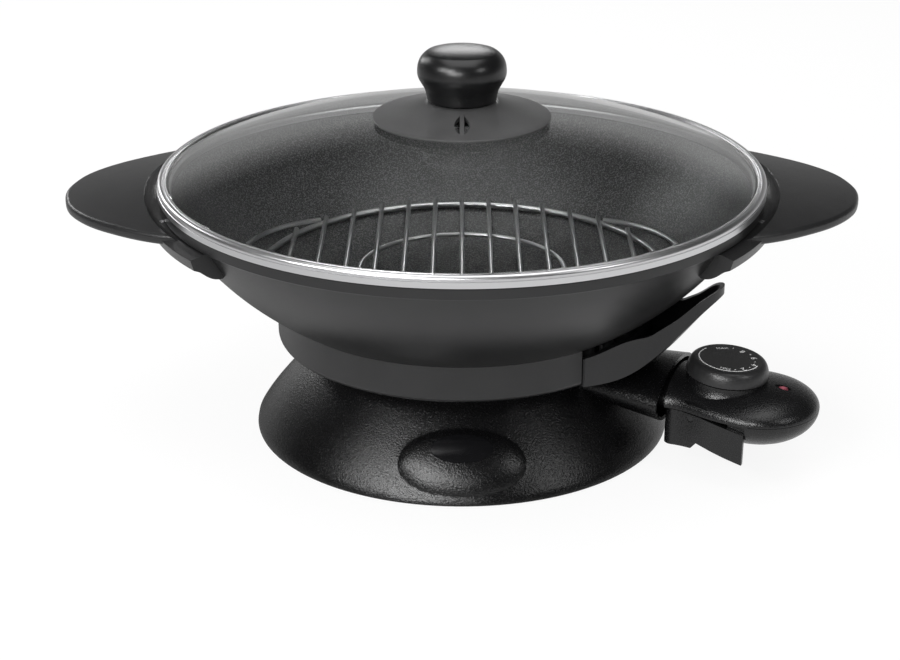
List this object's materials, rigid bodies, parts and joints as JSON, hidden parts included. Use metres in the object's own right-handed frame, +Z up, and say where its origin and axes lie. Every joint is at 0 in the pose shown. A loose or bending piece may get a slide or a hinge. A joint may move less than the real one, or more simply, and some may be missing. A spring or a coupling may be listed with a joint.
{
  "type": "electric wok",
  "caption": "Free-standing electric wok: non-stick bowl on a flared pedestal, domed glass lid with a venting knob, wire rack and a pull-out thermostat probe.",
  "frame": {"origin": "on the table, under the centre of the bowl", "axes": "+Z up, X through the two handles, front towards -Y, the probe towards +X and 23 degrees to the front"},
  "size_m": [0.486, 0.37, 0.2405],
  "materials": {
    "base_plastic": "fine textured black",
    "collar_plastic": "satin black",
    "handle_plastic": "satin black",
    "probe_plastic": "textured black",
    "shield_plastic": "satin black",
    "dial_plastic": "satin black",
    "knob_plastic": "satin black",
    "badge_plate": "gloss black",
    "foot_rubber": "soft matte",
    "seal_silicone": "soft matte",
    "nonstick": "dark non-stick coating, satin",
    "rim_steel": "polished stainless steel",
    "wire_steel": "bright drawn wire",
    "element_steel": "dull sheathed tube",
    "screw_steel": "zinc plated",
    "pin_steel": "plain steel",
    "contact_brass": "plain brass",
    "dome_glass": "clear tempered",
    "insulator": "moulded insulator",
    "lamp_red": "clear red jewel",
    "lamp_body": "lamp tube"
  },
  "bodies": {
    "wok": {"base_shell": "base_plastic", "base_feet": "foot_rubber", "base_badge": "badge_plate", "lock_retainer": "base_plastic", "retainer_screws": "screw_steel", "wok_bowl": "nonstick", "heating_element": "element_steel", "terminal_block": "insulator", "terminal_pins": "pin_steel", "block_screws": "screw_steel", "bayonet_stud": "pin_steel", "stud_screw": "screw_steel", "bowl_collar": "collar_plastic", "collar_screws": "screw_steel", "probe_shield": "shield_plastic", "shield_screws": "screw_steel", "right_handle": "handle_plastic", "left_handle": "handle_plastic", "handle_screws": "screw_steel"},
    "lock": {"lock_knob": "handle_plastic"},
    "lid": {"lid_glass": "dome_glass", "lid_rim": "rim_steel", "lid_gasket": "seal_silicone", "lid_washers": "seal_silicone", "lid_spacer": "pin_steel", "lid_bolt": "pin_steel", "lid_knob": "knob_plastic"},
    "vent": {"vent_dial": "knob_plastic"},
    "rack": {"rack_outer_ring": "wire_steel", "rack_inner_ring": "wire_steel", "rack_rods": "wire_steel", "rack_loops": "wire_steel"},
    "probe": {"probe_upper_shell": "probe_plastic", "probe_lower_shell": "probe_plastic", "probe_nose": "probe_plastic", "contact_sleeves": "contact_brass", "sensor_rod": "pin_steel", "thermostat": "insulator", "pilot_lamp": "lamp_body", "lamp_lens": "lamp_red", "probe_screws": "screw_steel", "cord_gland": "foot_rubber", "trigger_pin": "probe_plastic", "trigger_spring": "pin_steel"},
    "dial": {"dial_knob": "dial_plastic", "dial_shaft": "pin_steel"},
    "trigger": {"trigger_lever": "probe_plastic"}
  },
  "joints": [
    {"name": "lid_lift", "type": "slide", "parent": "wok", "child": "lid", "axis": [0, 0, 1], "range_m": [0, 0.15]},
    {"name": "vent_turn", "type": "hinge", "parent": "lid", "child": "vent", "pos_m": [0, 0, 0.2], "axis": [0, 0, 1], "range_deg": [0, 60]},
    {"name": "rack_lift", "type": "slide", "parent": "wok", "child": "rack", "axis": [0, 0, 1], "range_m": [0, 0.04]},
    {"name": "probe_slide", "type": "slide", "parent": "wok", "child": "probe", "axis": [0.9205, -0.3907, 0], "range_m": [0, 0.06]},
    {"name": "dial_turn", "type": "hinge", "parent": "probe", "child": "dial", "pos_m": [0.15943, -0.06767, 0.0586], "axis": [0.0642, -0.0273, 0.9976], "range_deg": [0, 270]},
    {"name": "trigger_squeeze", "type": "hinge", "parent": "probe", "child": "trigger", "pos_m": [0.14728, -0.06252, 0.038], "axis": [-0.3907, -0.9205, 0], "range_deg": [0, 7], "stiffness_Nm_per_rad": 0.5, "springref_deg": -5.73},
    {"name": "lock_turn", "type": "hinge", "parent": "wok", "child": "lock", "pos_m": [0, 0, 0.03], "axis": [0, 0, 1], "range_deg": [0, 90]}
  ]
}
